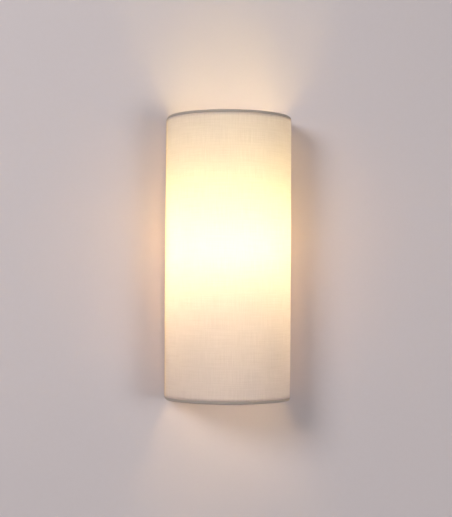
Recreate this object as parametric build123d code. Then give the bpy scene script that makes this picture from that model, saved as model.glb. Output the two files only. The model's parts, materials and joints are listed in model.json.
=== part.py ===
from build123d import *
import math
import os

# Half-round fabric wall light with one upright lamp. Millimetres.
# X runs to the right along the wall, -Y points out from the wall (the wall is y = 0) and +Z is up.
# The origin is the middle of the wall bracket's two screw slots, on the wall.
# "out" is a distance from the wall, so a point at out = 18 has y = -18.

os.makedirs("parts", exist_ok=True)

# ---------------------------------------------------------------- driving dimensions
# Shade
shade_width = 154.0
shade_height = 350.0
shade_depth = 98.0  # from the rear edges to the front of the cloth
wall_gap = 2.0  # between the rear edges and the wall
cloth = 0.6
liner = 0.4
frame_wire = 3.0
hem_wrap = 0.6
hem_play = 0.1  # between a wire and the hem rolled round it
seam_play = 0.05  # between the cloth's edge and a hem
# Back plate
plate_height = 296.0
plate_depth = 18.0
plate_sheet = 1.2
plate_corner = 8.0
plate_bend = 2.4
# Wall bracket, which sets the plate's width
bracket_width = 20.0
bracket_sheet = 2.0
bracket_step = 3.0  # how far its ends stand off the wall
slot_spacing = 60.0
slot_length = 9.0
slot_width = 4.5
slot_margin = 1.0  # from a slot to the bend beside it
bracket_bend = 0.5
supply_hole = 12.0
stud_reach = 8.5  # from a slot's end to a stud
bracket_end = 5.0  # from a stud to the bracket's end
bracket_side = 0.8  # between the bracket's end and the plate's side
# M4 fasteners
m4 = 4.0
m4_hole = 4.4
m4_head = 8.0
m4_head_height = 2.4
head_round = 1.4
cross_length = 4.8
cross_width = 1.0
cross_depth = 1.4
screw_end = 1.6  # how far a screw stands out of its nut
m4_nut = 7.0  # across flats
m4_nut_height = 3.2
m4_washer = 9.0
m4_washer_height = 0.8
thread_play = 0.04  # radial, between a screw and its thread
dome_height = 8.0
dome_crown = 2.4  # solid metal over a dome nut's thread
dome_step = 0.2  # the dome is this much inside the nut's flats
# Shade tabs and thumb screws
tab_width = 16.0
tab_sheet = 1.5
tab_lap = 21.0  # how far a tab reaches down over the plate's face
tab_clearance = 1.5  # between a tab's shelf and the end of the plate
face_clearance = 0.3  # between the plate's face and a tab, and a tab and its thumb screw
thumb_inset = 10.0  # from the end of the plate to the thumb screw
thumb_head = 12.0
thumb_head_height = 7.0
thumb_grooves = 24
groove_radius = 0.35
head_chamfer = 0.6
tip_chamfer = 0.5
weld_nut_flats = 12.0
weld_nut_height = 6.0
clip_diameter = 6.6
clip_sheet = 0.8
clip_hole = 8.0  # in the plate's face, round the clip
tab_bend = 1.0
# Lamp: golf-ball shape on an E14 cap
lamp_out = 44.0  # from the wall to the lamp's axis
lamp_tip_drop = 46.0  # from the origin down to the tip of the lamp's cap
globe_diameter = 45.0
globe_wall = 1.0
globe_cut = 16.0  # the globe ends this far below its centre
lamp_length = 78.0
tip_height = 1.5
tip_diameter = 4.8
insulator_height = 3.5
cap_height = 18.5
cap_crest = 13.8
cap_root = 12.6
cap_wall = 0.5
cap_pitch = 2.82
cap_turns = 5
cap_edge = 0.5  # plain metal below the thread
collar_height = 1.5
housing_foot = 17.2
housing_wall = 1.2
waist_share = 0.3125  # share of the way from foot to rim where the narrow part ends
waist_flare = 1.2
belly = 0.62  # share of the way from foot to rim where the flare is straightest
insulator_step = 0.8
tip_round = 0.9
board_play = 0.6
board_sheet = 1.6
driver_width = 13.0
driver_share = 0.7  # of the housing's height
led_size = 2.8
led_height = 0.7
led_count = 8
# Lampholder
holder_diameter = 28.0
holder_wall = 1.6
holder_cap_height = 18.0
holder_neck = 17.0
neck_height = 4.0
cone_height = 7.0
neck_wall = 3.45
spigot_height = 6.0
spigot_wall = 1.2
holder_play = 0.1
lip = 1.5
lip_reach = 2.0  # from the screw shell's bore to the skirt's mouth
skirt_round = 0.8
contact_gap = 0.3  # between the lamp's tip and the centre contact
socket_drop = 3.0  # from the lamp's tip to the floor of the socket
insert_floor = 7.5
shell_bore = 14.4
shell_sheet = 0.6
skirt_above_tip = 19.5
shell_notch = 6.0
shell_foot = 4.4
contact_width = 4.0
contact_bend = 0.2
rivet = 2.0
rivet_head = 3.2
rivet_head_height = 0.5
terminal_offset = 5.0
terminal_size = 5.0
terminal_screw = 3.2
terminal_screw_height = 1.6
driver_slot = 0.5  # width and depth of a small screw's slot
# Arm and hollow nipple
arm_width = 22.0
arm_sheet = 2.0
arm_leg = 28.0
arm_bend = 1.0
arm_leg_round = 4.4
arm_screw_drops = (9.0, 22.0)  # below the arm's underside
nipple = 10.0
nipple_bore = 8.0
nipple_below = 8.0
nipple_above = 6.5
nipple_play = 0.05
nipple_nut = 14.0
nipple_nut_height = 3.0
nipple_washer = 18.0
bush_flange = 2.0
bush_diameter = 12.0
bush_bore = 6.6
bush_round = 0.4
# Wiring
lead = 2.2
lead_pitch = 2.6
sleeve = 6.0
sleeve_wall = 0.4
grommet_drop = 36.5  # below the arm's underside
grommet_flange = 13.0
grommet_neck = 9.8
grommet_bore = 6.8
grommet_lip = 1.2
grommet_round = 0.7
grommet_play = 0.1
wiring_out = 5.5  # from the wall to the leads behind the plate
rear_bend = 8.5
front_bend = 18.0
lead_entry = 5.0  # how far a lead reaches into its clamp
lead_drop = 8.0  # straight down from the block before it turns
lead_rise = 27.0  # straight up from the grommet's height behind the plate
sleeve_rise = 20.0
sleeve_top = 1.0  # the sleeve ends this far below the nipple's upper end
fan_rise = 6.0  # the height in which the leads part above the nipple
block_pitch = 8.0
block_depth = 13.0
block_width = 16.0
block_ears = 2.0
block_round = 1.5
block_recess = 0.5  # the heads lie this deep in the block
block_drop = 36.0  # from the origin to the block's middle
screw_play = 0.4  # across, between a screw's head and its well
clamp_tube = 4.0
clamp_bore = 2.6
clamp_inset = 1.0  # from the block's side to the end of a clamp
clamp_screw = 2.6
clamp_screw_spread = 8.0
m3 = 3.0
m3_head = 5.5
m3_head_height = 2.0
m3_hole = 3.2
earth_across = 30.0
earth_drop = 62.0
earth_tag_sheet = 0.8
earth_tag = 9.0
earth_barrel = 3.2
earth_barrel_length = 7.0
earth_bore_length = 5.0
earth_lead_drop = 10.0
earth_lead_step = 3.0
crimp_play = 0.05

# ---------------------------------------------------------------- places worked out from them
half = shade_width / 2
hem = frame_wire / 2 + hem_play + hem_wrap
tunnel = frame_wire + 2 * hem_play
arc_out = wall_gap + shade_depth - half
wire_half = half - hem
wire_out = wall_gap + hem
wire_z = shade_height / 2 - hem
face_out = plate_depth
inside_out = plate_depth - plate_sheet
slot_end = (slot_spacing + slot_length) / 2
stud_x = slot_end + stud_reach
bracket_half = stud_x + bracket_end
plate_width = 2 * (bracket_half + bracket_side + plate_sheet)
plate_end = plate_height / 2
thumb_z = plate_end - thumb_inset
tab_out = face_out + face_clearance
thumb_out = tab_out + tab_sheet + face_clearance
tip_z = -lamp_tip_drop
lamp_middle = tip_z + lamp_length - globe_diameter / 2
cap_z = tip_z + tip_height + insulator_height
housing_z = cap_z + cap_height
rim_z = lamp_middle - globe_cut
socket_z = tip_z - socket_drop
insert_z = socket_z - insert_floor
skirt_z = insert_z - spigot_height
skirt_top = tip_z + skirt_above_tip
arm_top = skirt_z - holder_cap_height
arm_under = arm_top - arm_sheet
nipple_z = arm_under - nipple_below
nipple_top = arm_top + nipple_above
grommet_z = arm_under - grommet_drop
block_out = inside_out - block_depth / 2
block_foot = -block_drop - block_width / 2
block_rear = inside_out - block_depth
stud_bore = m4 + 2 * thread_play
rivet_bore = rivet + 2 * thread_play
globe_rim = math.sqrt((globe_diameter / 2) ** 2 - globe_cut**2)
barrel_x = -earth_across + earth_tag / 2 - thread_play
barrel_out = inside_out - earth_barrel / 2


# ---------------------------------------------------------------- shared forms
def save(node, shape):
    export_step(shape, f"parts/{node}.step")


def group(pieces):
    return Compound(children=list(pieces))


def from_wall(outline, out, thickness):
    """A flat outline in X and Z, standing from `out` to `out + thickness`."""
    return extrude(Plane.XZ.offset(out) * outline, amount=thickness)


def wall_rod(diameter, x, z, out, length):
    return from_wall(Pos(x, z) * Circle(diameter / 2), out, length)


def wall_nut(across_flats, x, z, out, height, bore):
    outline = RegularPolygon(across_flats / 2, 6, major_radius=False)
    if bore:
        outline -= Circle(bore / 2)
    return from_wall(Pos(x, z) * outline, out, height)


def wall_washer(diameter, bore, x, z, out, height):
    return from_wall(Pos(x, z) * (Circle(diameter / 2) - Circle(bore / 2)), out, height)


def pan_screw(x, z, out, length):
    """A cross-slotted M4 screw driven towards the wall; `out` is the seat of its head."""
    crown = wall_rod(m4_head, x, z, out, m4_head_height)
    crown = fillet(crown.edges().sort_by(Axis.Y)[0], head_round)
    for width, height in ((cross_length, cross_width), (cross_width, cross_length)):
        slot = Pos(x, z) * Rectangle(width, height)
        crown -= from_wall(slot, out + m4_head_height - cross_depth, cross_depth)
    return crown + wall_rod(m4, x, z, out - length, length)


def upright_ring(outer, inner, bottom, top):
    """A tube about the lamp's axis."""
    outline = Circle(outer / 2)
    if inner:
        outline -= Circle(inner / 2)
    return Pos(0, -lamp_out, bottom) * extrude(outline, amount=top - bottom)


def turned(corners):
    """A round piece about the lamp's axis from the corners (radius, height) of its section."""
    section = Plane.XZ * make_face(Polyline(corners, close=True))
    return Pos(0, -lamp_out, 0) * revolve(section, Axis.Z)


def bent_strip(corners, bend, sheet, width, plane):
    """Sheet bent along a line of corners, `width` wide across `plane`."""
    middle = FilletPolyline(*corners, radius=bend + sheet / 2)
    return extrude(plane * trace(middle, line_width=sheet), amount=width / 2, both=True)


# X is across the plane and the drawing's own axes are Y and Z.
SIDE = Plane.YZ


# ---------------------------------------------------------------- shade
def u_region(half_width, rear_out):
    """The plan of the shade: a half circle in front of two straight sides, closed at the rear."""
    side_end = (half_width, -arc_out)
    front = (0, -arc_out - half_width)
    outline = [
        Line((half_width, -rear_out), side_end),
        ThreePointArc(side_end, front, (-half_width, -arc_out)),
        Line((-half_width, -arc_out), (-half_width, -rear_out)),
        Line((-half_width, -rear_out), (half_width, -rear_out)),
    ]
    return make_face(outline)


def u_rod(section, height, rear_out):
    """A round section carried along a ring: two straight sides and the half circle in front."""
    side_end = Plane(origin=(wire_half, -arc_out, height), z_dir=(0, 1, 0)) * section
    side = extrude(side_end, amount=arc_out - rear_out)
    bow = revolve(side_end, Axis((0, -arc_out, height), (0, 0, -1)), 180)
    return bow + side + mirror(side, Plane.YZ)


def hem_edge(depth):
    """How far the cloth stops short of a hem's middle, for a layer that ends `depth` inside."""
    return math.sqrt(hem**2 - (hem - depth) ** 2) + seam_play


def shade_layer(outside, inside):
    """A layer of the shade's wall between two depths from its outer face."""
    stop = hem_edge(inside)
    rear = wire_out + stop
    height = 2 * (wire_z - stop)
    outline = u_region(half - outside, rear) - u_region(half - inside, rear)
    return Pos(0, 0, -height / 2) * extrude(outline, amount=height)


def cross_rod(diameter, height, half_length):
    middle = Plane(origin=(0, -wire_out, height), z_dir=(1, 0, 0))
    return extrude(middle * Circle(diameter / 2), amount=half_length, both=True)


def upright_rod(diameter, x, half_length):
    middle = Plane(origin=(x, -wire_out, 0))
    return extrude(middle * Circle(diameter / 2), amount=half_length, both=True)


def rim_hem(height):
    """The cloth rolled round a ring, notched where the ring's other wires leave it."""
    inside = frame_wire / 4  # a notch ends a little short of the ring's middle
    roll = u_rod(Circle(hem) - Circle(tunnel / 2), height, wall_gap)
    roll -= cross_rod(tunnel, height, wire_half - inside)
    for x in (-wire_half, wire_half):
        roll -= upright_rod(tunnel, x, wire_z - inside)
    return roll


def side_hem(x):
    half_length = wire_z - hem - seam_play
    return upright_rod(2 * hem, x, half_length) - upright_rod(tunnel, x, half_length)


def shade_tab(end):
    """The strip that hooks from a cross wire, round the plate's end, onto its face; end is 1 or -1."""
    wire_face = wire_out + frame_wire / 2 + tab_sheet / 2
    shelf = plate_end + tab_clearance + tab_sheet / 2
    corners = [
        (-wire_face, end * (wire_z + frame_wire / 2)),
        (-wire_face, end * shelf),
        (-(tab_out + tab_sheet / 2), end * shelf),
        (-(tab_out + tab_sheet / 2), end * (plate_end + tab_clearance - tab_lap)),
    ]
    strip = bent_strip(corners, tab_bend, tab_sheet, tab_width, SIDE)
    return strip - wall_rod(m4_hole, 0, end * thumb_z, tab_out, tab_sheet)


def build_shade():
    save("shade_cloth", shade_layer(0, cloth))
    save("shade_liner", shade_layer(cloth, cloth + liner))
    ring_rear = wire_out - frame_wire / 2
    for name, end in (("top", 1), ("bottom", -1)):
        save(f"{name}_ring_wire", u_rod(Circle(frame_wire / 2), end * wire_z, ring_rear))
        save(f"{name}_cross_wire", cross_rod(frame_wire, end * wire_z, wire_half - frame_wire / 2))
        save(f"{name}_hem", rim_hem(end * wire_z))
        save(f"{name}_shade_tab", shade_tab(end))
    for name, x in (("left", -wire_half), ("right", wire_half)):
        save(f"{name}_upright_wire", upright_rod(frame_wire, x, wire_z - frame_wire / 2))
        save(f"{name}_side_hem", side_hem(x))


# ---------------------------------------------------------------- thumb screws, captive in the tabs
def thumb_screw(z):
    head = wall_rod(thumb_head, 0, z, thumb_out, thumb_head_height)
    rims = head.edges().filter_by(GeomType.CIRCLE)
    head = chamfer(rims, head_chamfer)
    grooves = Sketch() + PolarLocations(thumb_head / 2, thumb_grooves) * Circle(groove_radius)
    head -= from_wall(Pos(0, z) * grooves, thumb_out, thumb_head_height)
    tip_out = inside_out - weld_nut_height
    shank = wall_rod(m4, 0, z, tip_out, thumb_out - tip_out)
    return head + chamfer(shank.edges().sort_by(Axis.Y)[-1], tip_chamfer)


def screw_clip(z):
    """The spring ring that keeps a thumb screw in its tab; it sits in the hole of the plate."""
    clip = Circle(clip_diameter / 2) - Circle(stud_bore / 2)
    clip -= Pos(0, -clip_diameter / 2) * Rectangle(m4 / 2, clip_diameter / 2)
    slack = (face_out - inside_out - clip_sheet) / 2
    return from_wall(Pos(0, z) * clip, inside_out + slack, clip_sheet)


def build_thumb_screws():
    for name, end in (("top", 1), ("bottom", -1)):
        save(f"{name}_thumb_screw", thumb_screw(end * thumb_z))
        save(f"{name}_screw_clip", screw_clip(end * thumb_z))


# ---------------------------------------------------------------- wall bracket and back plate
def wall_bracket():
    middle = bracket_sheet / 2
    end_out = bracket_step + middle
    flat_end = slot_end + slot_margin
    raised_start = flat_end + bracket_step
    corners = [
        (-bracket_half, -end_out),
        (-raised_start, -end_out),
        (-flat_end, -middle),
        (flat_end, -middle),
        (raised_start, -end_out),
        (bracket_half, -end_out),
    ]
    strip = bent_strip(corners, bracket_bend, bracket_sheet, bracket_width, Plane.XY)
    strip -= wall_rod(supply_hole, 0, 0, 0, bracket_sheet)
    for side in (-1, 1):
        slot = Pos(side * slot_spacing / 2, 0) * SlotOverall(slot_length, slot_width)
        strip -= from_wall(slot, 0, bracket_sheet)
        strip -= wall_rod(stud_bore, side * stud_x, 0, bracket_step, bracket_sheet)
    return strip


def pair(make):
    """Two like pieces, one at each stud of the bracket."""
    return group(make(side * stud_x) for side in (-1, 1))


def bracket_stud(x):
    """A flat-headed screw that points out of the bracket; its head is behind the raised end."""
    head = wall_rod(m4_head, x, 0, bracket_step - m4_head_height, m4_head_height)
    end_out = face_out + m4_washer_height + dome_height - dome_crown - dome_step
    return head + wall_rod(m4, x, 0, bracket_step, end_out - bracket_step)


def stud_nut(x):
    return wall_nut(m4_nut, x, 0, bracket_step + bracket_sheet, m4_nut_height, stud_bore)


def dome_washer(x):
    return wall_washer(m4_washer, m4_hole, x, 0, face_out, m4_washer_height)


def dome_nut(x):
    seat = face_out + m4_washer_height
    radius = m4_nut / 2 - dome_step
    straight = dome_height - m4_nut_height - radius
    dome_out = seat + m4_nut_height + straight
    body = wall_nut(m4_nut, x, 0, seat, m4_nut_height, 0)
    body += wall_rod(2 * radius, x, 0, seat + m4_nut_height, straight)
    ball = Pos(x, -dome_out, 0) * Sphere(radius)
    body += ball & from_wall(Pos(x, 0) * Rectangle(m4_nut, m4_nut), dome_out, radius)
    return body - wall_rod(stud_bore, x, 0, seat, dome_height - dome_crown)


def plate_form(inset):
    """The pan's outer form for inset 0, and its inner form for inset = the sheet."""
    corner = plate_corner - inset
    outline = RectangleRounded(plate_width - 2 * inset, plate_height - 2 * inset, corner)
    form = from_wall(outline, 0, plate_depth - inset)
    front = form.faces().sort_by(Axis.Y)[0]
    return fillet(front.edges(), plate_bend - inset)


def back_plate():
    pan = plate_form(0) - plate_form(plate_sheet)
    holes = [(m4_hole, side * stud_x, 0) for side in (-1, 1)]
    holes += [(clip_hole, 0, end * thumb_z) for end in (-1, 1)]
    holes += [(m4_hole, 0, arm_under - drop) for drop in arm_screw_drops]
    holes += [(grommet_neck + 2 * grommet_play, 0, grommet_z)]
    holes += [(m4_hole, -earth_across, -earth_drop)]
    holes += [(m3 + 2 * thread_play, block_pitch / 2, -block_drop)]
    for diameter, x, z in holes:
        pan -= wall_rod(diameter, x, z, inside_out, plate_sheet)
    return pan


def weld_nut(z):
    out = inside_out - weld_nut_height
    return wall_nut(weld_nut_flats, 0, z, out, weld_nut_height, stud_bore)


def build_wall_side():
    save("wall_bracket", wall_bracket())
    save("bracket_studs", pair(bracket_stud))
    save("stud_nuts", pair(stud_nut))
    save("back_plate", back_plate())
    save("dome_nuts", pair(dome_nut))
    save("dome_washers", pair(dome_washer))
    save("weld_nuts", group(weld_nut(end * thumb_z) for end in (-1, 1)))


# ---------------------------------------------------------------- arm and nipple
def arm_plan(tip_out):
    """The arm seen from above, with a round end about the nipple; tall enough for the whole arm."""
    straight = tip_out - arm_width / 2
    outline = Pos(0, -straight / 2) * Rectangle(arm_width, straight)
    outline += Pos(0, -straight) * Circle(arm_width / 2)
    return Pos(0, 0, arm_under - arm_leg) * extrude(outline, amount=arm_leg + 2 * arm_sheet)


def holder_arm():
    middle_out = face_out + arm_sheet / 2
    middle_z = arm_top - arm_sheet / 2
    tip_out = lamp_out + arm_width / 2
    corners = [
        (-middle_out, arm_under - arm_leg),
        (-middle_out, middle_z),
        (-tip_out, middle_z),
    ]
    arm = bent_strip(corners, arm_bend, arm_sheet, arm_width, SIDE)
    arm &= arm_plan(tip_out)
    leg_edges = arm.edges().filter_by(Axis.Y).group_by(Axis.Z)[0]
    arm = fillet(leg_edges, arm_leg_round)
    for drop in arm_screw_drops:
        arm -= wall_rod(m4_hole, 0, arm_under - drop, face_out, arm_sheet)
    return arm - upright_ring(nipple + 4 * nipple_play, 0, arm_under, arm_top)


def build_arm():
    save("holder_arm", holder_arm())
    heights = [arm_under - drop for drop in arm_screw_drops]
    screw_length = arm_sheet + plate_sheet + m4_nut_height + screw_end
    seat = face_out + arm_sheet
    save("arm_screws", group(pan_screw(0, z, seat, screw_length) for z in heights))
    nut_out = inside_out - m4_nut_height
    nuts = [wall_nut(m4_nut, 0, z, nut_out, m4_nut_height, stud_bore) for z in heights]
    nut_out -= earth_tag_sheet
    nuts.append(wall_nut(m4_nut, -earth_across, -earth_drop, nut_out, m4_nut_height, stud_bore))
    save("plate_nuts", group(nuts))

    save("hollow_nipple", upright_ring(nipple, nipple_bore, nipple_z, nipple_top))
    bore = nipple + 2 * nipple_play
    washer_z = arm_under - m4_washer_height
    save("nipple_washer", upright_ring(nipple_washer, bore, washer_z, arm_under))
    flats = RegularPolygon(nipple_nut / 2, 6, major_radius=False) - Circle(bore / 2)
    nut = Pos(0, -lamp_out, washer_z - nipple_nut_height) * extrude(flats, nipple_nut_height)
    save("nipple_nut", nut)
    bush = upright_ring(bush_diameter, bush_bore, nipple_z - bush_flange, nipple_z)
    bush_sleeve = nipple_bore - 2 * nipple_play
    bush += upright_ring(bush_sleeve, bush_bore, nipple_z, nipple_z + 2 * bush_flange)
    save("nipple_bush", fillet(bush.edges().sort_by(Axis.Z)[0:2], bush_round))


# ---------------------------------------------------------------- lampholder
def holder_cap():
    bore = nipple / 2 + nipple_play
    outer = holder_diameter / 2
    spigot_outer = outer - holder_wall - holder_play
    spigot_inner = spigot_outer - spigot_wall
    floor = nipple_top - holder_play
    cone_top = arm_top + neck_height + cone_height
    return turned(
        [
            (bore, arm_top),
            (holder_neck / 2, arm_top),
            (holder_neck / 2, arm_top + neck_height),
            (outer, cone_top),
            (outer, skirt_z),
            (spigot_outer, skirt_z),
            (spigot_outer, insert_z),
            (spigot_inner, insert_z),
            (spigot_inner, cone_top + holder_wall),
            (bore + neck_wall, floor),
            (bore, floor),
        ]
    )


def holder_skirt():
    outer = holder_diameter / 2
    inner = outer - holder_wall
    mouth = shell_bore / 2 + lip_reach
    sleeve_form = turned(
        [
            (inner, skirt_z),
            (outer, skirt_z),
            (outer, skirt_top),
            (mouth, skirt_top),
            (mouth, skirt_top - lip),
            (inner, skirt_top - lip),
        ]
    )
    rim = sleeve_form.edges().filter_by(GeomType.CIRCLE).group_by(Axis.Z)[-1].sort_by(SortBy.RADIUS)
    return fillet(rim[-1], skirt_round)


def holder_insert():
    body = holder_diameter - 2 * holder_wall - 2 * holder_play
    socket = shell_bore + 2 * shell_sheet + 2 * holder_play
    core = upright_ring(body, 0, insert_z, skirt_top - lip - holder_play)
    core -= upright_ring(socket, 0, socket_z, skirt_top)
    for side in (-1, 1):
        core -= Pos(side * terminal_offset) * upright_ring(rivet_bore, 0, insert_z, socket_z)
    return core


def screw_shell():
    outer = shell_bore + 2 * shell_sheet
    tube = upright_ring(outer, shell_bore, socket_z, skirt_top - 2 * lip)
    notch = Pos(shell_bore / 2, -lamp_out, socket_z) * Box(shell_notch, shell_notch, 2 * rivet)
    foot_end = terminal_offset - shell_foot / 2
    foot = Pos(-foot_end - shell_foot, -lamp_out, socket_z + shell_sheet / 2)
    foot *= Box(2 * shell_foot, shell_foot, shell_sheet)
    foot &= upright_ring(outer, 0, socket_z, socket_z + shell_sheet)
    hole = upright_ring(rivet_bore, 0, socket_z, socket_z + shell_sheet)
    return tube - notch + foot - Pos(-terminal_offset) * hole


def centre_contact():
    """The springy tongue that presses on the lamp's tip."""
    low = socket_z + shell_sheet / 2
    high = tip_z - contact_gap - shell_sheet / 2
    foot_end = terminal_offset - contact_width / 2
    corners = [
        (terminal_offset + contact_width / 2, low),
        (foot_end, low),
        (foot_end - (high - low), high),
        (-contact_width / 2, high),
    ]
    plane = Plane.XZ.offset(lamp_out)
    tongue = bent_strip(corners, contact_bend, shell_sheet, contact_width, plane)
    hole = upright_ring(rivet_bore, 0, socket_z, socket_z + shell_sheet)
    return tongue - Pos(terminal_offset) * hole


def rivet_at(x):
    head_z = socket_z + shell_sheet
    shank = upright_ring(rivet, 0, insert_z, head_z)
    return Pos(x) * (shank + upright_ring(rivet_head, 0, head_z, head_z + rivet_head_height))


def holder_terminal(x):
    block = Pos(x, -lamp_out, insert_z - spigot_height / 2)
    return block * Box(terminal_size, terminal_size, spigot_height)


def holder_terminal_screw(side):
    start = side * (terminal_offset + terminal_size / 2)
    seat = Plane(origin=(start, -lamp_out, insert_z - spigot_height / 2), z_dir=(side, 0, 0))
    screw = extrude(seat * Circle(terminal_screw / 2), amount=terminal_screw_height)
    slot_floor = seat.offset(terminal_screw_height - driver_slot)
    slot = slot_floor * Rectangle(2 * terminal_screw, driver_slot)
    return screw - extrude(slot, amount=driver_slot)


def build_lampholder():
    save("holder_cap", holder_cap())
    save("holder_skirt", holder_skirt())
    save("holder_insert", holder_insert())
    save("screw_shell", screw_shell())
    save("centre_contact", centre_contact())
    sides = (-1, 1)
    save("holder_rivets", group(rivet_at(side * terminal_offset) for side in sides))
    save("holder_terminals", group(holder_terminal(side * terminal_offset) for side in sides))
    save("holder_terminal_screws", group(holder_terminal_screw(side) for side in sides))


# ---------------------------------------------------------------- lamp
def bulb_globe():
    ball = Sphere(globe_diameter / 2) - Sphere(globe_diameter / 2 - globe_wall)
    below = Pos(0, 0, -globe_cut - globe_diameter / 2)
    ball -= below * Box(globe_diameter, globe_diameter, globe_diameter)
    return Pos(0, -lamp_out, lamp_middle) * ball


def housing_profile(inset):
    """Half the section of the flared housing, `inset` inside its outer face."""
    foot = housing_foot / 2 - inset
    rim = globe_rim - inset
    height = rim_z - housing_z
    waist = (foot + waist_flare, housing_z + height * waist_share)
    bulge = (foot + (rim - foot) * belly, housing_z + height * belly)
    side = Spline([(foot, housing_z), waist, bulge, (rim, rim_z)])
    face = make_face(
        [
            side,
            Line((rim, rim_z), (0, rim_z)),
            Line((0, rim_z), (0, housing_z)),
            Line((0, housing_z), (foot, housing_z)),
        ]
    )
    return Pos(0, -lamp_out, 0) * revolve(Plane.XZ * face, Axis.Z)


def bulb_cap():
    """The E14 cap, its thread drawn as rings, open at both ends."""
    crest, root = cap_crest / 2, cap_root / 2
    middle = (crest + root) / 2
    thread_foot = cap_z + cap_edge
    edges = []
    for turn in range(cap_turns):
        z = thread_foot + turn * cap_pitch
        quarter = cap_pitch / 4
        rise = (middle, z + 2 * quarter)
        edges.append(ThreePointArc((middle, z), (crest, z + quarter), rise))
        edges.append(ThreePointArc(rise, (root, z + 3 * quarter), (middle, z + cap_pitch)))
    inner = root - cap_wall
    collar = housing_foot / 2 - housing_wall
    corners = [
        (middle, thread_foot + cap_turns * cap_pitch),
        (middle, housing_z - collar_height),
        (collar, housing_z),
        (collar - cap_wall, housing_z),
        (inner, housing_z - collar_height),
        (inner, cap_z),
        (middle, cap_z),
        (middle, thread_foot),
    ]
    section = make_face(edges + [Polyline(corners)])
    return Pos(0, -lamp_out, 0) * revolve(Plane.XZ * section, Axis.Z)


def bulb_insulator():
    foot = tip_z + tip_height
    wide = cap_root / 2 - cap_wall
    return turned([(0, foot), (tip_diameter / 2 + insulator_step, foot), (wide, cap_z), (0, cap_z)])


def bulb_tip():
    tip = upright_ring(tip_diameter, 0, tip_z, tip_z + tip_height)
    return fillet(tip.edges().sort_by(Axis.Z)[0], tip_round)


def led_board():
    radius = globe_rim - housing_wall - board_play
    return upright_ring(2 * radius, 0, rim_z - board_sheet, rim_z)


def led(angle):
    place = Rot(0, 0, angle) * Pos(globe_diameter / 4, 0, led_height / 2)
    return Pos(0, -lamp_out, rim_z) * place * Box(led_size, led_size, led_height)


def driver_board():
    top = rim_z - board_sheet
    height = (rim_z - housing_z) * driver_share
    return Pos(0, -lamp_out, top - height / 2) * Box(driver_width, board_sheet, height)


def build_lamp():
    save("bulb_globe", bulb_globe())
    save("bulb_housing", housing_profile(0) - housing_profile(housing_wall))
    save("bulb_cap", bulb_cap())
    save("bulb_insulator", bulb_insulator())
    save("bulb_tip", bulb_tip())
    save("led_board", led_board())
    save("led_chips", group(led(360 * i / led_count) for i in range(led_count)))
    save("driver_board", driver_board())


# ---------------------------------------------------------------- terminal block and wiring
def poles():
    """Each pole's X, from the earth pole to the live one."""
    return [(i - 1) * block_pitch for i in range(3)]


def block_plane(z):
    return Plane(origin=(0, -block_out, z))


def clamp_screw_places():
    spread = clamp_screw_spread / 2
    return [(x, -block_drop + dz) for x in poles() for dz in (-spread, spread)]


def terminal_block():
    length = 3 * block_pitch + block_ears
    outline = Pos(0, -block_drop) * RectangleRounded(length, block_width, block_round)
    body = from_wall(outline, block_rear, block_depth)
    for x in poles():
        tunnel = block_plane(block_foot) * Pos(x) * Circle(clamp_tube / 2 + thread_play)
        body -= extrude(tunnel, amount=block_width)
    for x, z in clamp_screw_places():
        body -= wall_rod(clamp_screw + screw_play, x, z, block_rear, block_out - block_rear)
    place = (block_pitch / 2, -block_drop, block_rear)
    body -= wall_rod(m3_hole, *place, block_depth)
    return body - wall_rod(m3_head + screw_play, *place, m3_head_height + block_recess)


def clamp(x):
    tube = Circle(clamp_tube / 2) - Circle(clamp_bore / 2)
    start = block_plane(block_foot + clamp_inset)
    return extrude(start * Pos(x) * tube, amount=block_width - 2 * clamp_inset)


def clamp_screw_at(x, z):
    seat_out = block_out - clamp_tube / 2 - seam_play
    end_out = block_rear + block_recess
    screw = wall_rod(clamp_screw, x, z, end_out, seat_out - end_out)
    slot = Pos(x, z) * Rectangle(2 * clamp_screw, driver_slot)
    return screw - from_wall(slot, end_out, driver_slot)


def block_screw():
    """Holds the block to the plate; driven from behind."""
    head_out = block_rear + block_recess
    start = head_out + m3_head_height
    head = wall_rod(m3_head, block_pitch / 2, -block_drop, head_out, m3_head_height)
    return head + wall_rod(m3, block_pitch / 2, -block_drop, start, face_out - start)


def route(points, bends):
    """A lead's middle line: straight runs joined by arcs."""
    return FilletPolyline(*points, radius=bends)


def tube_along(path, diameter):
    start = Plane(origin=path @ 0, z_dir=path % 0)
    return sweep(start * Circle(diameter / 2), path=path)


def easy_bend(before, corner, after):
    """The largest smooth bend at a corner: 0.45 of its shorter run on each side."""
    a, b, c = Vector(before), Vector(corner), Vector(after)
    turn = (b - a).get_angle(c - b)
    return 0.45 * min((b - a).length, (c - b).length) / math.tan(math.radians(turn / 2))


def holder_lead(pole, x, terminal):
    """A lead from a pole of the block, through grommet and nipple, to its terminal."""
    points = [
        (pole, -block_out, block_foot + lead_entry),
        (pole, -block_out, block_foot - lead_drop),
        (x, -wiring_out, grommet_z + lead_rise),
        (x, -wiring_out, grommet_z),
        (x, -lamp_out, grommet_z),
        (x, -lamp_out, nipple_top),
        (terminal, -lamp_out, nipple_top + fan_rise),
        (terminal, -lamp_out, skirt_z),
    ]
    corners = range(1, len(points) - 1)
    bends = [easy_bend(*points[i - 1 : i + 2]) for i in corners]
    bends[2] = rear_bend
    bends[3] = front_bend
    return route(points, bends)


def sleeve_route():
    points = [
        (0, -wiring_out, grommet_z + sleeve_rise),
        (0, -wiring_out, grommet_z),
        (0, -lamp_out, grommet_z),
        (0, -lamp_out, nipple_top - sleeve_top),
    ]
    return route(points, [rear_bend, front_bend])


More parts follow.
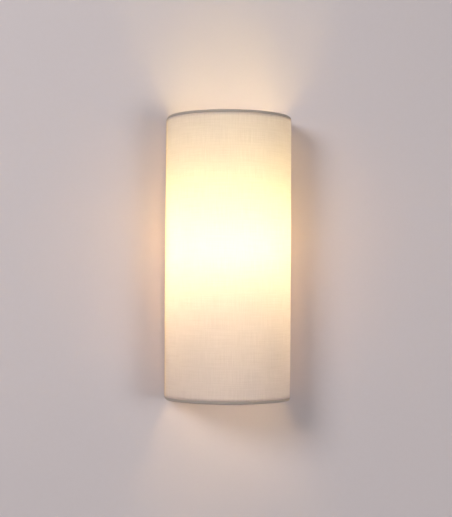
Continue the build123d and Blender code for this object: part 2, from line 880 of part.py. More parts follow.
def earth_route():
    pole = poles()[0]
    points = [
        (pole, -block_out, block_foot + lead_entry),
        (pole, -block_out, block_foot - earth_lead_drop),
        (pole - earth_lead_step, -barrel_out, -earth_drop),
        (barrel_x + earth_barrel_length - earth_bore_length, -barrel_out, -earth_drop),
    ]
    corners = range(1, len(points) - 1)
    return route(points, [easy_bend(*points[i - 1 : i + 2]) for i in corners])


def earth_ring():
    """Ring tag and its crimped barrel."""
    tag_out = inside_out - earth_tag_sheet
    tag = wall_washer(earth_tag, m4_hole, -earth_across, -earth_drop, tag_out, earth_tag_sheet)
    root = Plane(origin=(barrel_x, -barrel_out, -earth_drop), z_dir=(1, 0, 0))
    barrel = extrude(root * Circle(earth_barrel / 2), amount=earth_barrel_length)
    floor = root.offset(earth_barrel_length - earth_bore_length)
    bore = extrude(floor * Circle(lead / 2 + crimp_play), amount=earth_bore_length)
    return tag + barrel - bore


def grommet():
    out = inside_out - grommet_lip
    thickness = plate_sheet + 2 * grommet_lip
    body = wall_rod(grommet_flange, 0, grommet_z, out, thickness)
    waist = Circle(grommet_flange / 2) - Circle(grommet_neck / 2)
    body -= from_wall(Pos(0, grommet_z) * waist, inside_out, plate_sheet)
    rims = body.edges().filter_by(GeomType.CIRCLE).sort_by(Axis.Y)
    body = fillet([rims[0], rims[-1]], grommet_round)
    return body - wall_rod(grommet_bore, 0, grommet_z, out, thickness)


def build_wiring():
    save("terminal_block", terminal_block())
    save("terminal_clamps", group(clamp(x) for x in poles()))
    save("terminal_screws", group(clamp_screw_at(x, z) for x, z in clamp_screw_places()))
    save("block_screw", block_screw())
    save("grommet", grommet())
    side = lead_pitch / 2
    routes = {
        "neutral_lead": holder_lead(poles()[1], -side, -terminal_offset),
        "live_lead": holder_lead(poles()[2], side, terminal_offset),
        "earth_lead": earth_route(),
    }
    for name, path in routes.items():
        tube = tube_along(path, lead)
        save(name, tube)
        section = math.pi * (lead / 2) ** 2
        bends = [round(edge.radius, 1) for edge in path.edges().filter_by(GeomType.CIRCLE)]
        share = tube.volume / (section * path.length)
        print(f"{name}: length {path.length:.0f}, bends {bends}, volume share {share:.4f}")
    path = sleeve_route()
    bore = sleeve - 2 * sleeve_wall
    save("lead_sleeve", tube_along(path, sleeve) - tube_along(path, bore))
    save("earth_tag", earth_ring())
    length = plate_sheet + earth_tag_sheet + m4_nut_height + screw_end
    save("earth_screw", pan_screw(-earth_across, -earth_drop, face_out, length))


build_shade()
build_thumb_screws()
build_wall_side()
build_arm()
build_lampholder()
build_lamp()
build_wiring()
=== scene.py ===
import json
import math

import bpy
import numpy as np
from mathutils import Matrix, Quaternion, Vector


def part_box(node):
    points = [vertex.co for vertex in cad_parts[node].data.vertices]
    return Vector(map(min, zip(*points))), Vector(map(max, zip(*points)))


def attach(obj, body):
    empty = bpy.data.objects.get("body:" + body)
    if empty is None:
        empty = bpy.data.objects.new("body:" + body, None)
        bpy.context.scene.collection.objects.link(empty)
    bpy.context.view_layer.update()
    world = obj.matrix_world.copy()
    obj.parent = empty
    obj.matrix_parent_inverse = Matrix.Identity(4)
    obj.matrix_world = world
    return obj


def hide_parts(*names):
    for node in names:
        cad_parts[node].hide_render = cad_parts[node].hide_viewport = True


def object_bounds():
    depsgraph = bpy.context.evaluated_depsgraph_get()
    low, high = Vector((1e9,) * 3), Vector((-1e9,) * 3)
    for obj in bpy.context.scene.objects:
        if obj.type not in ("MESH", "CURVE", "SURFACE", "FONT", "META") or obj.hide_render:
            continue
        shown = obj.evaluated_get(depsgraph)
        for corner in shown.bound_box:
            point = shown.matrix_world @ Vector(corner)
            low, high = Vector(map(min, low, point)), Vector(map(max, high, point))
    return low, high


# A half-round fabric wall light, in metres. The wall is y = 0, -Y points out of it, and "out" is a distance
# from the wall.
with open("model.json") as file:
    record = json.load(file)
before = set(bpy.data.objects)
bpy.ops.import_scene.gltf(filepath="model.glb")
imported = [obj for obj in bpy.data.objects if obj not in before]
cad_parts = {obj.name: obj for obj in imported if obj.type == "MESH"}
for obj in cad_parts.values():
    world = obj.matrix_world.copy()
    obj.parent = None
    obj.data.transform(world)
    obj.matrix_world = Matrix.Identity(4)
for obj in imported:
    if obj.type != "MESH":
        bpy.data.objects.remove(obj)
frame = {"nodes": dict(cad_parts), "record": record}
cad_low, cad_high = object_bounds()

MM = 0.001

# ---------------------------------------------------------------- places read from the frame
cloth_low, cloth_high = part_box("shade_cloth")
liner_low, liner_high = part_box("shade_liner")
roll_low, roll_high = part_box("top_hem")
side_low, side_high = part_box("right_side_hem")
globe_low, globe_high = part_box("bulb_globe")
plate_low, plate_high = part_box("back_plate")

half = cloth_high.x
arc_out = -cloth_low.y - half  # the half circle's centre, out from the wall
cloth_rear = -cloth_high.y
cloth_sheet = cloth_high.x - liner_high.x
roll = (roll_high.z - roll_low.z) / 2  # the rolled hems' own radius
roll_radius = roll_high.x - roll  # the half circle along the middle of the top and bottom hems
roll_rear = -roll_high.y
roll_z = roll_high.z - roll
side_out = -(side_low.y + side_high.y) / 2

# ---------------------------------------------------------------- shape of the cloth
LINER_SHEET = 0.4 * MM
SHEET_COLUMNS, SHEET_ROWS = 176, 96

BOW = 0.3 * MM  # the cloth stands out this much at mid-height
BOW_POWER = 4.0
SLACK = 0.10 * MM  # height of the cloth's slight unevenness
SLACK_POWER = 6
# The waves of that unevenness: share, radians in a metre along and up, start
SLACK_WAVES = ((1.0, 61, 0, 1.3), (0.7, 127, 23, 0.4), (0.6, -19, 47, 2.1))

# The rolls round the wires; heights are shares of a roll's radius.
HEM_STATIONS, HEM_SIDES = 260, 28
UPRIGHT_STATIONS, UPRIGHT_SIDES = 120, 24
ROLL_MIDDLE = 0.99  # the roll's radius between its ripples
RIPPLES = ((0.018, 410, 0), (0.0132, 890, 3))  # height, radians along, waves round the roll
LAP_HEIGHT = 0.05  # the lap of the cloth's edge
LAP_TURN, LAP_SPREAD = 3.5, 0.5  # its place round the roll and its width, in radians
ROUND_END = (0.0, 0.03, 0.12, 0.26, 0.45, 0.68)  # places along a roll's rounded end, in radii
ROUND_END_CLEAR = 1.3  # even stations start this many times further in than the last of those
END_FLAT = 0.25  # radius of the flat middle of a rounded end


# ---------------------------------------------------------------- meshes
def even(steps):
    """Shares from 0 to 1 in even steps."""
    return [i / steps for i in range(steps + 1)]


def turns(sides):
    """The angles of a ring's points."""
    return [2 * math.pi * j / sides for j in range(sides)]


def plan_length(radius, rear):
    """Length of the half-round plan, from one rear edge to the other."""
    return 2 * (arc_out - rear) + math.pi * radius


def half_round(radius, rear, shares):
    """Stations of the half-round plan, left to right: point, outward direction, length from the middle."""
    leg = arc_out - rear
    total = plan_length(radius, rear)
    stations = []
    for share in shares:
        along = total * share
        if along <= leg:
            point, outward = (-radius, -rear - along), (-1.0, 0.0)
        elif along >= total - leg:
            point, outward = (radius, along - total - rear), (1.0, 0.0)
        else:
            turn = (along - leg) / radius
            outward = (-math.cos(turn), -math.sin(turn))
            point = (radius * outward[0], radius * outward[1] - arc_out)
        stations.append((Vector((*point, 0)), Vector((*outward, 0)), along - total / 2))
    return stations


def reach(height):
    """How near a height is to a hem: 0 at mid-height, 1 at the hem."""
    return min(abs(height) / cloth_high.z, 1.0)


def bow(height):
    """How far the cloth bows out of its frame at a height."""
    return BOW * (1 - reach(height) ** BOW_POWER)


def unevenness(along, height):
    """The cloth's slight waves; nothing at the hems."""
    waves = 0.0
    for share, across, up, start in SLACK_WAVES:
        waves += share * math.sin(along * across + height * up + start)
    return SLACK * waves * (1 - reach(height) ** SLACK_POWER)


def new_object(name, points, faces, coordinates, materials, chosen=None, smooth=True):
    """A mesh object; coordinates has a (u, v), in metres, for each point, and chosen a slot for each face."""
    mesh = bpy.data.meshes.new(name)
    mesh.from_pydata([tuple(p) for p in points], [], faces)
    layer = mesh.uv_layers.new(name="UVMap")
    index = np.empty(len(mesh.loops), np.int32)
    mesh.loops.foreach_get("vertex_index", index)
    layer.data.foreach_set("uv", np.array(coordinates, np.float32)[index].ravel())
    if chosen is not None:
        mesh.polygons.foreach_set("material_index", chosen)
    if smooth:
        mesh.shade_smooth()
    for material in materials:
        mesh.materials.append(material)
    mesh.validate()
    item = bpy.data.objects.new(name, mesh)
    bpy.context.scene.collection.objects.link(item)
    return item


def grid_faces(rows, columns, start=0, close=False, flip=False):
    """Quads over a grid of points in row order; close joins the last column to the first."""
    faces = []
    for i in range(rows - 1):
        row = start + i * columns
        for j in range(columns if close else columns - 1):
            a, b = row + j, row + (j + 1) % columns
            face = (a, b, b + columns, a + columns)
            faces.append(face[::-1] if flip else face)
    return faces


def roll_faces(rings, sides, flip):
    """Quads along a row of rings, and a face over each end."""
    last = (rings - 1) * sides
    ends = [tuple(range(sides))[::-1], tuple(range(last, last + sides))]
    return grid_faces(rings, sides, close=True, flip=flip) + [end[::-1] if flip else end for end in ends]


def curved_sheet(name, radius, sheet, low, high, materials):
    """A closed thin sheet along the half-round plan.

    The first material is on its outer face and its edges, and the second on its inner face.
    """
    plan = half_round(radius, cloth_rear, even(SHEET_COLUMNS))
    heights = [low + (high - low) * share for share in even(SHEET_ROWS)]
    points, coordinates = [], []
    for depth in (0.0, sheet):
        for point, outward, along in plan:
            for height in heights:
                stand = bow(height) + unevenness(along, height) - depth
                points.append(point + outward * stand + Vector((0, 0, height)))
                coordinates.append((along, height))
    rows, columns = len(plan), len(heights)
    count = rows * columns
    outer = grid_faces(rows, columns)
    inner = grid_faces(rows, columns, start=count, flip=True)
    rim = list(range(columns))  # up the left edge, then along the top, down the right edge and back
    rim += [i * columns + columns - 1 for i in range(1, rows)]
    rim += [(rows - 1) * columns + j for j in range(columns - 2, -1, -1)]
    rim += [i * columns for i in range(rows - 2, 0, -1)]
    edges = [(b, a, a + count, b + count) for a, b in zip(rim, rim[1:] + rim[:1])]
    chosen = [0] * len(outer) + [1] * len(inner) + [0] * len(edges)
    return new_object(name, points, outer + inner + edges, coordinates, materials, chosen)


def roll_section(turn, along, start):
    """Radius of a tight roll, with soft ripples, and the lap of the cloth's edge on its inner side."""
    radius = ROLL_MIDDLE + LAP_HEIGHT * math.exp(-(((turn - LAP_TURN) / LAP_SPREAD) ** 2))
    for height, lengthwise, waves in RIPPLES:
        radius += height * math.sin(along * lengthwise + waves * turn + start)
    return roll * radius


def rolled_hem(name, end, start, material):
    """The cloth rolled round a ring, with rounded ends; end is 1 for the top ring, -1 for the bottom one."""
    length = plan_length(roll_radius, roll_rear)
    near = [roll * place / length for place in ROUND_END]
    clear = near[-1] * ROUND_END_CLEAR
    middle = [share for share in even(HEM_STATIONS) if clear < share < 1 - clear]
    plan = half_round(roll_radius, roll_rear, near + middle + [1 - share for share in near[::-1]])
    points, coordinates = [], []
    for point, outward, along in plan:
        inward = min((length / 2 - abs(along)) / roll, 1.0)
        close = END_FLAT + (1 - END_FLAT) * math.sqrt(1 - (1 - inward) ** 2)
        for turn in turns(HEM_SIDES):
            arm = outward * math.cos(turn) + Vector((0, 0, end * math.sin(turn)))
            radius = close * roll_section(turn, along, start)
            points.append(point + Vector((0, 0, end * roll_z)) + arm * radius)
            coordinates.append((along, turn * roll))
    faces = roll_faces(len(plan), HEM_SIDES, end < 0)
    return new_object(name, points, faces, coordinates, [material])


def rolled_side(name, side, start, material):
    """The cloth rolled round an upright wire; its outer flank follows the cloth's bow."""
    centre = Vector((side * roll_radius, -side_out, 0))
    heights = [side_low.z + (side_high.z - side_low.z) * share for share in even(UPRIGHT_STATIONS)]
    points, coordinates = [], []
    for height in heights:
        for turn in turns(UPRIGHT_SIDES):
            arm = Vector((side * math.cos(turn), -math.sin(turn), 0))
            stand = Vector((side * bow(height) * max(math.cos(turn), 0), 0, height))
            points.append(centre + arm * roll_section(turn, height, start) + stand)
            coordinates.append((turn * roll, height))
    faces = roll_faces(len(heights), UPRIGHT_SIDES, side > 0)
    return new_object(name, points, faces, coordinates, [material])


# ---------------------------------------------------------------- materials
NOISE_LOW, NOISE_HIGH = 0.25, 0.75  # most of a noise lies between these
MIX_FIRST, MIX_SECOND, MIX_RESULT = 6, 7, 2  # the colour sockets of a mix
AXIS_Y, AXIS_Z = 1, 2

# The woven cloth
THREAD_PITCH = 0.9 * MM
SLUB_WIDTH = 1.1 * MM  # how wide a thick or thin stretch of yarn is
SLUB_LENGTH = 22 * MM
ROLLED_SLUB_LENGTH = 14 * MM
WEFT_LENGTH = 1.7  # the weft's stretches are this many times longer
SLUB_RELIEF = 0.8  # share of the relief that the thick and thin yarns give

# Cloth and lining get more light through, and warmer light, towards the wall. That is painted glow, not a
# change in the real cloth, and it brightens the wall beside the shade. Each pair is front, then wall.
GLOW_FROM, GLOW_FULL = 42 * MM, 6 * MM  # where that starts and where it is full, out from the wall
LINEN_THROUGH_WITH_PAINTED_GLOW = (0.87, 0.825, 0.84), (0.96, 0.84, 0.70)
LINEN_SHARE_WITH_PAINTED_GLOW = 0.5, 0.80  # share of the light that goes through instead of back
LINING_THROUGH_WITH_PAINTED_GLOW = (0.94, 0.93, 0.92), (0.97, 0.91, 0.81)
LINING_SHARE_WITH_PAINTED_GLOW = 0.68, 0.94
ROLL_SHARE = 0.3  # the same for the rolled cloth, all along

# Plain surfaces
PATCHES = 45.0  # broad patches of tone in a metre
PATCH_SPREAD = 0.03
GLOSS_SPREAD = 0.15

# Brushed metal
LINES_ACROSS, LINES_ALONG = 2600.0, 260.0  # grains in a metre
BRUSHED_SPREAD = 0.3

# The lit globe
LAMP_STRENGTH = 82.0
LAMP_TOP = (0.60, 0.49, 0.18)
LAMP_FOOT = (1.88, 1.38, 0.80)
LAMP_FALL = 2.5  # how soon the foot's light gives way to the top's

STRAND_TURN = 5.2 / MM  # radians in a metre across the sleeving's strands


class Look:
    """A material and its nodes while it is made."""

    def __init__(self, name):
        self.material = bpy.data.materials.new(name)
        self.material.use_nodes = True
        self.tree = self.material.node_tree
        self.tree.nodes.clear()
        self.output = self.tree.nodes.new("ShaderNodeOutputMaterial")

    def add(self, kind, inputs=None, **settings):
        """A node of a kind, with its settings and its inputs, which are values or other nodes' outputs."""
        node = self.tree.nodes.new("ShaderNode" + kind)
        for key, value in settings.items():
            setattr(node, key, value)
        for key, value in (inputs or {}).items():
            self.put(node.inputs[key], value)
        return node

    def put(self, socket, value):
        if isinstance(value, bpy.types.NodeSocket):
            self.tree.links.new(value, socket)
        elif isinstance(value, tuple) and len(value) == 3 and socket.type == "RGBA":
            socket.default_value = (*value, 1.0)
        else:
            socket.default_value = value

    def math(self, operation, a, b=0.0):
        return self.add("Math", {0: a, 1: b}, operation=operation).outputs[0]

    def plus(self, a, b):
        return self.math("ADD", a, b)

    def times(self, a, b):
        return self.math("MULTIPLY", a, b)

    def crossed(self, a, b):
        """Two families of waves across each other, 0 to 1."""
        product = self.times(self.math("SINE", a), self.math("SINE", b))
        return self.plus(self.times(product, 0.5), 0.5)

    def scaled(self, place, factors):
        return self.add("VectorMath", {0: place, 1: factors}, operation="MULTIPLY").outputs[0]

    def place(self, x=1.0, y=1.0, z=1.0):
        """A point's place in metres, times a factor for each axis."""
        return self.scaled(self.add("TexCoord").outputs["Object"], (x, y, z))

    def surface(self, u, v):
        """A point's place along the piece's own two lengths, in metres, times a factor for each."""
        return self.scaled(self.add("UVMap", uv_map="UVMap").outputs[0], (u, v, 0))

    def parts(self, place):
        """The separate coordinates of a place."""
        return self.add("SeparateXYZ", {0: place}).outputs

    def noise(self, place, detail):
        return self.add("TexNoise", {"Vector": place, "Scale": 1.0, "Detail": detail}).outputs["Fac"]

    def grains(self, per_metre, detail=3.0):
        """A noise with so many grains in a metre."""
        return self.noise(self.place(per_metre, per_metre, per_metre), detail)

    def stretch(self, value, start, end, low, high, **settings):
        """Goes from low to high while value goes from start to end."""
        inputs = {"Value": value, "From Min": start, "From Max": end, "To Min": low, "To Max": high}
        return self.add("MapRange", inputs, **settings).outputs["Result"]

    def span(self, noise, low, high):
        """A noise brought to lie from low to high."""
        return self.stretch(noise, NOISE_LOW, NOISE_HIGH, low, high)

    def about(self, noise, middle, spread):
        """A noise round a middle, up to a share of it away."""
        return self.span(noise, middle * (1 - spread), middle * (1 + spread))

    def mix(self, factor, a, b):
        """The colour a, which gives way to b as factor goes from 0 to 1."""
        node = self.add("Mix", {0: factor, MIX_FIRST: a, MIX_SECOND: b}, data_type="RGBA")
        return node.outputs[MIX_RESULT]

    def shade(self, colour, factor):
        """colour times a grey factor."""
        grey = self.add("CombineColor", {0: factor, 1: factor, 2: factor}).outputs[0]
        inputs = {0: 1.0, MIX_FIRST: colour, MIX_SECOND: grey}
        return self.add("Mix", inputs, data_type="RGBA", blend_type="MULTIPLY").outputs[MIX_RESULT]

    def bump(self, height, distance, strength):
        inputs = {"Height": height, "Distance": distance, "Strength": strength}
        return self.add("Bump", inputs).outputs["Normal"]

    def shader(self, kind, inputs=None):
        return self.add(kind, inputs).outputs[0]

    def blend(self, share, first, second):
        """Two shaders, with this share of the second."""
        return self.shader("MixShader", {0: share, 1: first, 2: second})

    def finish(self, shader):
        self.tree.links.new(shader, self.output.inputs["Surface"])
        return self.material


def threads(look):
    """The raised threads of a plain weave, 0 to 1."""
    step = 2 * math.pi / THREAD_PITCH
    along = look.parts(look.surface(step, step))
    return look.crossed(along[0], along[1])


def slubs(look, length):
    """Thick and thin stretches of yarn, both ways of the cloth, 0 to 1."""
    warp = look.noise(look.surface(1 / SLUB_WIDTH, 1 / length), detail=2.0)
    weft = look.noise(look.surface(1 / (length * WEFT_LENGTH), 1 / SLUB_WIDTH), detail=2.0)
    return look.times(look.plus(warp, weft), 0.5)


def relief(look, yarn, thread_relief):
    """Height of the cloth's yarns and threads."""
    return look.plus(look.times(yarn, SLUB_RELIEF), look.times(threads(look), thread_relief))


def painted_wall_glow(look):
    """The mask of the painted glow near the wall: 0 at the front and the flanks, rising to 1 at the rear
    edges.
    """
    y = look.parts(look.place())[AXIS_Y]
    return look.stretch(y, -GLOW_FROM, -GLOW_FULL, 0.0, 1.0, interpolation_type="SMOOTHSTEP")


def linen():
    """The shade's cloth: light passes through it, less where a yarn is thick, and more and warmer near the
    rear edges as painted glow.
    """
    look = Look("ivory_linen")
    yarn = slubs(look, SLUB_LENGTH)
    cloud = look.grains(28.0, detail=2.0)
    near = painted_wall_glow(look)
    normal = look.bump(relief(look, yarn, thread_relief=0.35), distance=0.12 * MM, strength=0.5)
    thinness = look.times(look.span(yarn, 0.77, 1.17), look.about(cloud, 1.0, 0.015))
    seen = look.shade((0.95, 0.79, 0.73), look.span(yarn, 1.03, 0.95))
    # painted glow: the colour and the share of light let through rise towards the rear edges
    through = look.shade(look.mix(near, *LINEN_THROUGH_WITH_PAINTED_GLOW), thinness)
    front = look.shader("BsdfDiffuse", {"Color": seen, "Normal": normal})
    lit = look.shader("BsdfTranslucent", {"Color": through, "Normal": normal})
    return look.finish(look.blend(look.stretch(near, 0.0, 1.0, *LINEN_SHARE_WITH_PAINTED_GLOW), front, lit))


def laminate():
    """The lining's inner face: smooth and translucent, with painted glow: more and warmer light through near
    the rear edges.
    """
    look = Look("shade_laminate")
    tone = look.about(look.grains(60.0), 1.0, 0.03)
    near = painted_wall_glow(look)
    front = look.shader("BsdfDiffuse", {"Color": look.shade((0.93, 0.92, 0.90), tone)})
    # painted glow: the colour and the share of light let through rise towards the rear edges
    lit = look.shader("BsdfTranslucent", {"Color": look.shade(look.mix(near, *LINING_THROUGH_WITH_PAINTED_GLOW), tone)})
    sheet = look.blend(look.stretch(near, 0.0, 1.0, *LINING_SHARE_WITH_PAINTED_GLOW), front, lit)
    gloss = look.shader("BsdfGlossy", {"Color": (0.9, 0.9, 0.9), "Roughness": 0.35})
    return look.finish(look.blend(look.shader("Fresnel", {"IOR": 1.35}), sheet, gloss))


def bond():
    """The glued faces between cloth and lining, which nobody sees: light goes straight through."""
    look = Look("glue_bond")
    return look.finish(look.shader("BsdfTransparent", {"Color": (1.0, 1.0, 1.0)}))


def rolled_cloth_painted_shade():
    """The same cloth in several layers round a wire, so little light comes through; its colour is painted
    shade, much darker than the linen's own.
    """
    look = Look("rolled_cloth_painted_shade")
    yarn = slubs(look, ROLLED_SLUB_LENGTH)
    inputs = {
        # painted shade: the rolled cloth's colour is darkened well below the linen's own
        "Base Color": look.shade((0.57, 0.495, 0.455), look.span(yarn, 0.93, 1.06)),
        "Roughness": look.span(yarn, 0.82, 0.95),
        "Sheen Weight": 0.15,
        "Normal": look.bump(relief(look, yarn, thread_relief=0.5), distance=0.14 * MM, strength=0.7),
    }
    woven = look.shader("BsdfPrincipled", inputs)
    through = look.shade((0.80, 0.68, 0.54), look.span(yarn, 0.9, 1.05))
    lit = look.shader("BsdfTranslucent", {"Color": through})
    return look.finish(look.blend(ROLL_SHARE, woven, lit))


def solid(name, colour, rough, spread=0.02, grains=900.0, depth=0.02 * MM):
    """A surface with fine grains in its colour, its gloss and its height."""
    look = Look(name)
    fine = look.grains(grains, detail=4.0)
    broad = look.grains(PATCHES, detail=2.0)
    tone = look.times(look.about(fine, 1.0, spread), look.about(broad, 1.0, PATCH_SPREAD))
    inputs = {
        "Base Color": look.shade(colour, tone),
        "Roughness": look.about(fine, rough, GLOSS_SPREAD),
        "Normal": look.bump(fine, distance=depth, strength=0.6),
    }
    return look.finish(look.shader("BsdfPrincipled", inputs))


def opal():
    """The lit globe, whose light is warmer at its top and stronger at its foot."""
    look = Look("opal_globe")
    fine = look.grains(700.0)
    height = look.parts(look.place())[AXIS_Z]
    foot = look.math("POWER", look.stretch(height, globe_low.z, globe_high.z, 1.0, 0.0), LAMP_FALL)
    inputs = {
        "Base Color": look.shade((0.92, 0.90, 0.86), look.about(fine, 1.0, 0.02)),
        "Roughness": look.span(fine, 0.22, 0.30),
        "Emission Color": look.mix(foot, LAMP_TOP, LAMP_FOOT),
        "Emission Strength": LAMP_STRENGTH,
        "Normal": look.bump(fine, distance=0.01 * MM, strength=0.4),
    }
    return look.finish(look.shader("BsdfPrincipled", inputs))


def brushed(name, colour, rough):
    """Drawn or turned metal with fine lines."""
    look = Look(name)
    lines = look.noise(look.place(LINES_ACROSS, LINES_ACROSS, LINES_ALONG), detail=4.0)
    spots = look.grains(160.0)
    inputs = {
        "Base Color": look.shade(colour, look.span(spots, 0.90, 1.05)),
        "Roughness": look.about(lines, rough, BRUSHED_SPREAD),
        "Metallic": 1.0,
        "Normal": look.bump(lines, distance=0.01 * MM, strength=0.5),
    }
    return look.finish(look.shader("BsdfPrincipled", inputs))


def braid():
    """Woven glass sleeving: two families of strands, crosswise."""
    look = Look("glass_sleeving")
    x, y, z = look.parts(look.place(STRAND_TURN, STRAND_TURN, STRAND_TURN))
    rising = look.plus(z, look.plus(x, y))
    falling = look.math("SUBTRACT", z, look.math("SUBTRACT", x, y))
    strand = look.crossed(rising, falling)
    inputs = {
        "Base Color": look.shade((0.84, 0.83, 0.79), look.stretch(strand, 0.0, 1.0, 0.8, 1.04)),
        "Roughness": 0.8,
        "Normal": look.bump(strand, distance=0.15 * MM, strength=0.8),
    }
    return look.finish(look.shader("BsdfPrincipled", inputs))


LOOKS = {
    "shade_cloth": linen(),
    "shade_liner": laminate(),
    "hem_cloth": rolled_cloth_painted_shade(),
    "white_wire": solid("white_wire", (0.80, 0.79, 0.77), 0.38, grains=1400.0),
    "plate_paint": solid("plate_paint", (0.80, 0.79, 0.765), 0.5, grains=1100.0, depth=0.05 * MM),
    "nickel": brushed("nickel", (0.74, 0.71, 0.66), 0.24),
    "zinc_steel": brushed("zinc_steel", (0.62, 0.63, 0.64), 0.34),
    "spring_steel": brushed("spring_steel", (0.20, 0.20, 0.21), 0.42),
    "brass": brushed("brass", (0.74, 0.56, 0.27), 0.28),
    "solder": brushed("solder", (0.60, 0.60, 0.59), 0.45),
    "opal_globe": opal(),
    "lamp_housing": solid("lamp_housing", (0.84, 0.83, 0.80), 0.32),
    "black_glass": solid("black_glass", (0.02, 0.02, 0.025), 0.12, spread=0.2),
    "led_board": solid("led_board", (0.82, 0.82, 0.79), 0.4),
    "led_chips": solid("led_chips", (0.85, 0.66, 0.12), 0.3, spread=0.1),
    "circuit_board": solid("circuit_board", (0.05, 0.20, 0.08), 0.35, spread=0.12),
    "white_plastic": solid("white_plastic", (0.80, 0.79, 0.76), 0.42),
    "holder_plastic": solid("holder_plastic", (0.80, 0.78, 0.74), 0.46, depth=0.03 * MM),
    "porcelain": solid("porcelain", (0.80, 0.76, 0.69), 0.18, spread=0.05, grains=300.0),
    "block_nylon": solid("block_nylon", (0.78, 0.77, 0.72), 0.5, depth=0.03 * MM),
    "grommet_rubber": solid("grommet_rubber", (0.70, 0.70, 0.68), 0.7),
    "neutral_insulation": solid("neutral_insulation", (0.04, 0.12, 0.42), 0.45),
    "live_insulation": solid("live_insulation", (0.20, 0.09, 0.05), 0.45),
    "earth_insulation": solid("earth_insulation", (0.16, 0.40, 0.06), 0.45),
    "glass_sleeving": braid(),
}

for row in frame["record"]["subparts"]:
    mesh = frame["nodes"][row["node"]].data
    mesh.materials.clear()
    mesh.materials.append(LOOKS[row["material_slot"]])


# ---------------------------------------------------------------- pieces of the shade
# The hems: name, end or side, and where the ripples start
RING_HEMS = (("top", 1, 1.7), ("bottom", -1, 4.1))
UPRIGHT_HEMS = (("left", -1, 1.3), ("right", 1, 3.3))


def stand_in(piece, node):
    """The piece is shown in place of a node of the shade."""
    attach(piece, "shade")
    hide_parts(node)
    return piece


glue = bond()
outside = [LOOKS["shade_cloth"], glue]
inside = [glue, LOOKS["shade_liner"]]
fabric = curved_sheet("shade_fabric", half, cloth_sheet, cloth_low.z, cloth_high.z, outside)
stand_in(fabric, "shade_cloth")
lining = curved_sheet("shade_lining", half - cloth_sheet, LINER_SHEET, liner_low.z, liner_high.z, inside)
stand_in(lining, "shade_liner")
for name, end, start in RING_HEMS:
    hem = rolled_hem(f"{name}_rolled_edge", end, start, LOOKS["hem_cloth"])
    stand_in(hem, f"{name}_hem")
for name, side, start in UPRIGHT_HEMS:
    hem = rolled_side(f"{name}_rolled_side", side, start, LOOKS["hem_cloth"])
    stand_in(hem, f"{name}_side_hem")

# ---------------------------------------------------------------- wall and floor
WALL_GAP = 0.3 * MM  # the wall's plaster is this far behind the bracket
WALL_LAP = 3 * MM  # the plate laps the opening in the wall by this much, all round
WALL_HALF_WIDTH = 7.0
WALL_TOP = 5.0
FLOOR = -2.2
ROOM = 9.0
CORNERS = 4


def board(name, corners, material, faces=((0, 1, 2, 3),)):
    """A flat part of the room."""
    item = new_object(name, corners, faces, [(c[0], c[1]) for c in corners], [material], smooth=False)


def upright_corners(left, right, low, high):
    """The corners of an oblong in the wall's face."""
    return [(x, WALL_GAP, z) for x, z in ((left, low), (right, low), (right, high), (left, high))]


def wall_paint():
    """Painted plaster, lilac-grey, which is clear from behind."""
    look = Look("wall_paint")
    fine = look.grains(260.0, detail=4.0)
    broad = look.grains(3.0, detail=2.0)
    tone = look.times(look.about(fine, 1.0, 0.005), look.about(broad, 1.0, 0.01))
    inputs = {
        "Base Color": look.shade((0.755, 0.648, 0.640), tone),
        "Roughness": 0.9,
        "Specular IOR Level": 0.1,
        "Normal": look.bump(fine, distance=0.10 * MM, strength=0.4),
    }
    paint = look.shader("BsdfPrincipled", inputs)
    clear = look.shader("BsdfTransparent")
    behind = look.add("NewGeometry").outputs["Backfacing"]
    return look.finish(look.blend(behind, paint, clear))


wall_corners = upright_corners(-WALL_HALF_WIDTH, WALL_HALF_WIDTH, FLOOR, WALL_TOP)
wall_corners += upright_corners(
    plate_low.x + WALL_LAP, plate_high.x - WALL_LAP, plate_low.z + WALL_LAP, plate_high.z - WALL_LAP
)
around = []  # the wall's faces, between its own corners and those of the opening behind the plate
for corner in range(CORNERS):
    following = (corner + 1) % CORNERS
    around.append((corner, following, following + CORNERS, corner + CORNERS))
board("wall", wall_corners, wall_paint(), around)
floor_corners = [(x * ROOM, y * ROOM, FLOOR) for x, y in ((-1, -1), (1, -1), (1, 1), (-1, 1))]
board("floor", floor_corners, solid("floor_paint", (0.78, 0.77, 0.76), 0.8, grains=40.0))

# ---------------------------------------------------------------- light
LIGHT_SIZE = 0.9
LIGHT_COLOUR = (0.93, 0.972, 1.0)
SKY_COLOUR = (0.91, 0.955, 1.0, 1.0)
SKY_STRENGTH = 0.19


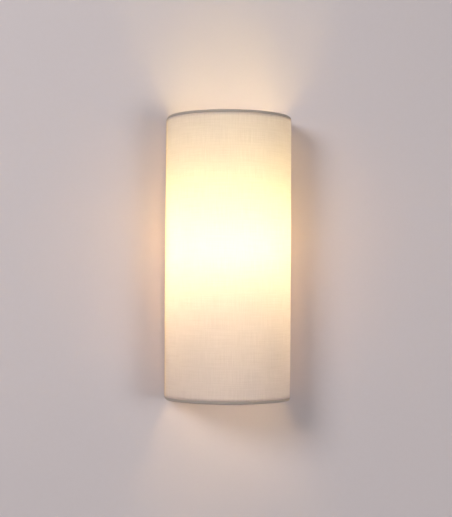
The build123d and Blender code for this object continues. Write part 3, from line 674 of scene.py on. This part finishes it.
def round_light(name, place, power):
    """A round light that faces the origin."""
    data = bpy.data.lights.new(name, "AREA")
    data.shape = "DISK"
    data.size = LIGHT_SIZE
    data.energy = power
    data.color = LIGHT_COLOUR
    item = bpy.data.objects.new(name, data)
    item.location = place
    item.rotation_mode = "QUATERNION"
    item.rotation_quaternion = (-Vector(place)).to_track_quat("-Z", "Y")
    bpy.context.scene.collection.objects.link(item)


world = bpy.data.worlds.new("studio")
world.use_nodes = True
background = world.node_tree.nodes["Background"]
background.inputs["Color"].default_value = SKY_COLOUR
background.inputs["Strength"].default_value = SKY_STRENGTH
bpy.context.scene.world = world

round_light("key_light", (-1.4, -1.7, 0.8), 25.5)
round_light("fill_light", (1.5, -2.0, -0.15), 15.5)
round_light("back_light", (-0.9, 2.0, 0.7), 26.0)

# ---------------------------------------------------------------- camera
CAMERA_DISTANCE = 1.570
CAMERA_AZIMUTH = math.radians(-6.85)
CAMERA_ELEVATION = math.radians(-1.65)
CAMERA_ROLL = math.radians(0.357)
FOCAL_PIXELS = 1286.0
IMAGE_WIDTH, IMAGE_HEIGHT = 452, 517
CENTRE_X, CENTRE_Y = 231.0, 257.6  # where the camera's axis meets the picture
SENSOR = 36.0
NEAREST, FARTHEST = 0.05, 60.0  # what the camera sees

camera_data = bpy.data.cameras.new("camera")
camera = bpy.data.objects.new("camera", camera_data)
bpy.context.scene.collection.objects.link(camera)
bpy.context.scene.camera = camera
level = math.cos(CAMERA_ELEVATION)
sideways, outwards = math.sin(CAMERA_AZIMUTH) * level, math.cos(CAMERA_AZIMUTH) * level
back = Vector((sideways, -outwards, math.sin(CAMERA_ELEVATION)))
camera.location = Vector((0, cad_low.y / 2, 0)) + back * CAMERA_DISTANCE
camera.rotation_mode = "QUATERNION"
camera.rotation_quaternion = (-back).to_track_quat("-Z", "Y") @ Quaternion((0, 0, 1), CAMERA_ROLL)
camera_data.sensor_width = SENSOR
camera_data.lens = SENSOR * FOCAL_PIXELS / IMAGE_HEIGHT
camera_data.shift_x = (IMAGE_WIDTH / 2 - CENTRE_X) / IMAGE_HEIGHT
camera_data.shift_y = (CENTRE_Y - IMAGE_HEIGHT / 2) / IMAGE_HEIGHT
camera_data.clip_start = NEAREST
camera_data.clip_end = FARTHEST

bpy.context.scene.view_settings.view_transform = "Standard"
